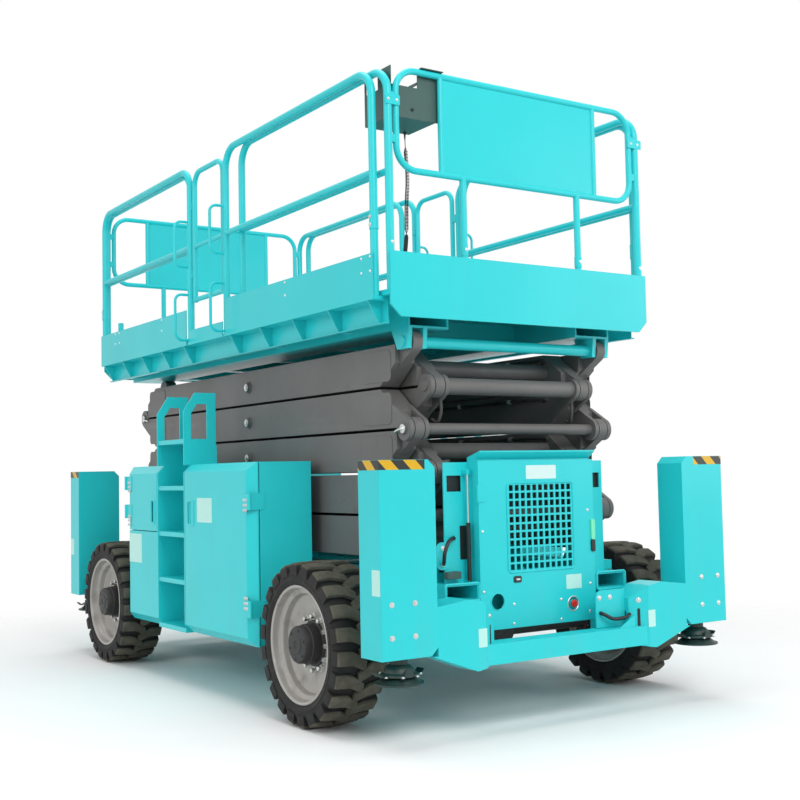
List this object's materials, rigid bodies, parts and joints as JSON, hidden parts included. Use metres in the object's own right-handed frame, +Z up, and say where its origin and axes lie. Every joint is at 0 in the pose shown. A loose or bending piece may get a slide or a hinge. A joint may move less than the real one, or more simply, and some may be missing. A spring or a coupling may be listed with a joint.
{
  "type": "rough-terrain scissor lift",
  "caption": "Four-wheel rough-terrain scissor lift with folded five-level arm stack, railed platform, jack legs and side cabinets with ladders.",
  "frame": {"origin": "on the ground under the middle of the machine", "axes": "+Y to the rear of the machine, +X to the side seen on the right from the front, +Z up"},
  "size_m": [2.35, 4.433, 3.354],
  "materials": {
    "teal_paint": "gloss powder coat",
    "arm_grey": "semi matt paint",
    "black_paint": "semi matt paint",
    "dark_metal": "rough cast",
    "tyre_rubber": "matt rubber",
    "rim_paint": "silver grey paint",
    "green_black": "greasy paint",
    "cylinder_paint": "gloss paint",
    "chrome_rod": "hard chrome",
    "bracket_green": "matt paint",
    "black_rubber": "matt rubber"
  },
  "bodies": {
    "chassis": {"chassis_frame": "teal_paint", "front_axle": "black_paint", "rear_axle": "black_paint", "front_outrigger_frame": "teal_paint", "rear_outrigger_frame": "teal_paint", "left_pod": "teal_paint", "right_pod": "teal_paint", "front_cover": "teal_paint", "rear_cover": "teal_paint", "engine_block": "dark_metal"},
    "front_left_wheel": {"front_left_tyre": "tyre_rubber", "front_left_wheel": "rim_paint"},
    "front_left_jack_leg": {"front_left_jack_leg": "green_black"},
    "front_right_wheel": {"front_right_tyre": "tyre_rubber", "front_right_wheel": "rim_paint"},
    "front_right_jack_leg": {"front_right_jack_leg": "green_black"},
    "rear_left_wheel": {"rear_left_tyre": "tyre_rubber", "rear_left_wheel": "rim_paint"},
    "rear_left_jack_leg": {"rear_left_jack_leg": "green_black"},
    "rear_right_wheel": {"rear_right_tyre": "tyre_rubber", "rear_right_wheel": "rim_paint"},
    "rear_right_jack_leg": {"rear_right_jack_leg": "green_black"},
    "left_knuckle": {"left_knuckle": "black_paint"},
    "right_knuckle": {"right_knuckle": "black_paint"},
    "tie_rod": {"tie_rod": "black_paint"},
    "front_cover_door": {"front_cover_door": "teal_paint"},
    "left_front_door": {"left_front_door": "teal_paint"},
    "left_rear_door": {"left_rear_door": "teal_paint"},
    "right_front_door": {"right_front_door": "teal_paint"},
    "right_rear_door": {"right_rear_door": "teal_paint"},
    "outer_arms_1": {"outer_arms_1": "arm_grey"},
    "inner_arms_1": {"inner_arms_1": "arm_grey"},
    "outer_arms_2": {"outer_arms_2": "arm_grey"},
    "inner_arms_2": {"inner_arms_2": "arm_grey"},
    "outer_arms_3": {"outer_arms_3": "arm_grey"},
    "inner_arms_3": {"inner_arms_3": "arm_grey"},
    "outer_arms_4": {"outer_arms_4": "arm_grey"},
    "inner_arms_4": {"inner_arms_4": "arm_grey"},
    "outer_arms_5": {"outer_arms_5": "arm_grey"},
    "inner_arms_5": {"inner_arms_5": "arm_grey"},
    "platform": {"platform_deck": "teal_paint", "left_guard_rails": "teal_paint", "right_guard_rails": "teal_paint"},
    "lower_cylinder_barrel": {"lower_cylinder_barrel": "cylinder_paint"},
    "lower_cylinder_rod": {"lower_cylinder_rod": "chrome_rod"},
    "upper_cylinder_barrel": {"upper_cylinder_barrel": "cylinder_paint"},
    "upper_cylinder_rod": {"upper_cylinder_rod": "chrome_rod"},
    "left_gate": {"left_gate": "teal_paint"},
    "right_gate": {"right_gate": "teal_paint"},
    "front_extension": {"front_extension": "teal_paint", "control_box": "bracket_green", "control_cord": "black_rubber"},
    "rear_extension": {"rear_extension": "teal_paint"}
  },
  "joints": [
    {"name": "front_left_roll", "type": "hinge", "parent": "left_knuckle", "child": "front_left_wheel", "pos_m": [-1.025, -1.42, 0.42], "axis": [1, 0, 0], "continuous": true},
    {"name": "front_left_jack_extend", "type": "slide", "parent": "chassis", "child": "front_left_jack_leg", "axis": [0, 0, -1], "range_m": [0, 0.45]},
    {"name": "front_right_roll", "type": "hinge", "parent": "right_knuckle", "child": "front_right_wheel", "pos_m": [1.025, -1.42, 0.42], "axis": [1, 0, 0], "continuous": true},
    {"name": "front_right_jack_extend", "type": "slide", "parent": "chassis", "child": "front_right_jack_leg", "axis": [0, 0, -1], "range_m": [0, 0.45]},
    {"name": "rear_left_roll", "type": "hinge", "parent": "chassis", "child": "rear_left_wheel", "pos_m": [-1.025, 1.42, 0.42], "axis": [1, 0, 0], "continuous": true},
    {"name": "rear_left_jack_extend", "type": "slide", "parent": "chassis", "child": "rear_left_jack_leg", "axis": [0, 0, -1], "range_m": [0, 0.45]},
    {"name": "rear_right_roll", "type": "hinge", "parent": "chassis", "child": "rear_right_wheel", "pos_m": [1.025, 1.42, 0.42], "axis": [1, 0, 0], "continuous": true},
    {"name": "rear_right_jack_extend", "type": "slide", "parent": "chassis", "child": "rear_right_jack_leg", "axis": [0, 0, -1], "range_m": [0, 0.45]},
    {"name": "steer_left", "type": "hinge", "parent": "chassis", "child": "left_knuckle", "pos_m": [-0.85, -1.42, 0.42], "axis": [0, 0, 1], "range_deg": [-28, 28]},
    {"name": "steer_right", "type": "hinge", "parent": "chassis", "child": "right_knuckle", "pos_m": [0.85, -1.42, 0.42], "axis": [0, 0, 1], "range_deg": [-28, 28]},
    {"name": "tie_rod_turn", "type": "hinge", "parent": "left_knuckle", "child": "tie_rod", "pos_m": [-0.79, -1.16, 0.356], "axis": [0, 0, 1], "range_deg": [-28, 28]},
    {"name": "front_cover_door_open", "type": "hinge", "parent": "chassis", "child": "front_cover_door", "pos_m": [-0.399, -1.956, 0.9], "axis": [0, 0, -1], "range_deg": [0, 90]},
    {"name": "left_front_door_open", "type": "hinge", "parent": "chassis", "child": "left_front_door", "pos_m": [-1.156, -0.876, 0.9], "axis": [0, 0, 1], "range_deg": [0, 90]},
    {"name": "left_rear_door_open", "type": "hinge", "parent": "chassis", "child": "left_rear_door", "pos_m": [-1.156, 1.001, 0.9], "axis": [0, 0, -1], "range_deg": [0, 105]},
    {"name": "right_front_door_open", "type": "hinge", "parent": "chassis", "child": "right_front_door", "pos_m": [1.156, -0.876, 0.9], "axis": [0, 0, -1], "range_deg": [0, 90]},
    {"name": "right_rear_door_open", "type": "hinge", "parent": "chassis", "child": "right_rear_door", "pos_m": [1.156, 1.001, 0.9], "axis": [0, 0, 1], "range_deg": [0, 105]},
    {"name": "lift", "type": "hinge", "parent": "chassis", "child": "inner_arms_5", "pos_m": [0, -1.73, 0.833], "axis": [1, 0, 0], "range_deg": [0, 52]},
    {"name": "centre_pivot_5", "type": "hinge", "parent": "inner_arms_5", "child": "outer_arms_5", "pos_m": [0, 0.045, 0.9455], "axis": [1, 0, 0], "range_deg": [-104, 0]},
    {"name": "front_pivot_5", "type": "hinge", "parent": "outer_arms_5", "child": "outer_arms_4", "pos_m": [0, -1.73, 1.058], "axis": [1, 0, 0], "range_deg": [0, 104]},
    {"name": "centre_pivot_4", "type": "hinge", "parent": "outer_arms_4", "child": "inner_arms_4", "pos_m": [0, 0.045, 1.1705], "axis": [1, 0, 0], "range_deg": [-104, 0]},
    {"name": "front_pivot_4", "type": "hinge", "parent": "inner_arms_4", "child": "inner_arms_3", "pos_m": [0, -1.73, 1.283], "axis": [1, 0, 0], "range_deg": [0, 104]},
    {"name": "centre_pivot_3", "type": "hinge", "parent": "inner_arms_3", "child": "outer_arms_3", "pos_m": [0, 0.045, 1.3955], "axis": [1, 0, 0], "range_deg": [-104, 0]},
    {"name": "front_pivot_3", "type": "hinge", "parent": "outer_arms_3", "child": "outer_arms_2", "pos_m": [0, -1.73, 1.508], "axis": [1, 0, 0], "range_deg": [0, 104]},
    {"name": "centre_pivot_2", "type": "hinge", "parent": "outer_arms_2", "child": "inner_arms_2", "pos_m": [0, 0.045, 1.6205], "axis": [1, 0, 0], "range_deg": [-104, 0]},
    {"name": "front_pivot_2", "type": "hinge", "parent": "inner_arms_2", "child": "inner_arms_1", "pos_m": [0, -1.73, 1.733], "axis": [1, 0, 0], "range_deg": [0, 104]},
    {"name": "centre_pivot_1", "type": "hinge", "parent": "inner_arms_1", "child": "outer_arms_1", "pos_m": [0, 0.045, 1.8455], "axis": [1, 0, 0], "range_deg": [-104, 0]},
    {"name": "platform_pivot", "type": "hinge", "parent": "outer_arms_1", "child": "platform", "pos_m": [0, -1.73, 1.958], "axis": [1, 0, 0], "range_deg": [0, 52]},
    {"name": "lower_cylinder_tilt", "type": "hinge", "parent": "inner_arms_5", "child": "lower_cylinder_barrel", "pos_m": [0, -1.33, 0.8], "axis": [1, 0, 0], "range_deg": [0, 4.76]},
    {"name": "lower_cylinder_stroke", "type": "slide", "parent": "lower_cylinder_barrel", "child": "lower_cylinder_rod", "axis": [0, 0.9856, 0.169], "range_m": [0, 1.10501]},
    {"name": "upper_cylinder_tilt", "type": "hinge", "parent": "inner_arms_3", "child": "upper_cylinder_barrel", "pos_m": [0, -1.33, 1.25], "axis": [1, 0, 0], "range_deg": [0, 4.76]},
    {"name": "upper_cylinder_stroke", "type": "slide", "parent": "upper_cylinder_barrel", "child": "upper_cylinder_rod", "axis": [0, 0.9856, 0.169], "range_m": [0, 1.10501]},
    {"name": "left_gate_open", "type": "hinge", "parent": "platform", "child": "left_gate", "pos_m": [-0.894, 0.406, 2.8], "axis": [0, 0, 1], "range_deg": [0, 90]},
    {"name": "right_gate_open", "type": "hinge", "parent": "platform", "child": "right_gate", "pos_m": [0.894, 0.406, 2.8], "axis": [0, 0, -1], "range_deg": [0, 90]},
    {"name": "front_extension_slide", "type": "slide", "parent": "platform", "child": "front_extension", "axis": [0, -1, 0], "range_m": [0, 1.2]},
    {"name": "rear_extension_slide", "type": "slide", "parent": "platform", "child": "rear_extension", "axis": [0, 1, 0], "range_m": [0, 1.2]}
  ],
  "couplings": [
    {"joint": "steer_right", "follows": "steer_left", "ratio": 1},
    {"joint": "tie_rod_turn", "follows": "steer_left", "ratio": -1},
    {"joint": "centre_pivot_5", "follows": "lift", "ratio": -2},
    {"joint": "front_pivot_5", "follows": "lift", "ratio": 2},
    {"joint": "centre_pivot_4", "follows": "lift", "ratio": -2},
    {"joint": "front_pivot_4", "follows": "lift", "ratio": 2},
    {"joint": "centre_pivot_3", "follows": "lift", "ratio": -2},
    {"joint": "front_pivot_3", "follows": "lift", "ratio": 2},
    {"joint": "centre_pivot_2", "follows": "lift", "ratio": -2},
    {"joint": "front_pivot_2", "follows": "lift", "ratio": 2},
    {"joint": "centre_pivot_1", "follows": "lift", "ratio": -2},
    {"joint": "platform_pivot", "follows": "lift", "ratio": 1},
    {"joint": "lower_cylinder_tilt", "follows": "lift", "ratio": 0.091457},
    {"joint": "lower_cylinder_stroke", "follows": "lift", "m_per_rad": 1.2174},
    {"joint": "upper_cylinder_tilt", "follows": "lift", "ratio": 0.091457},
    {"joint": "upper_cylinder_stroke", "follows": "lift", "m_per_rad": 1.2174}
  ]
}
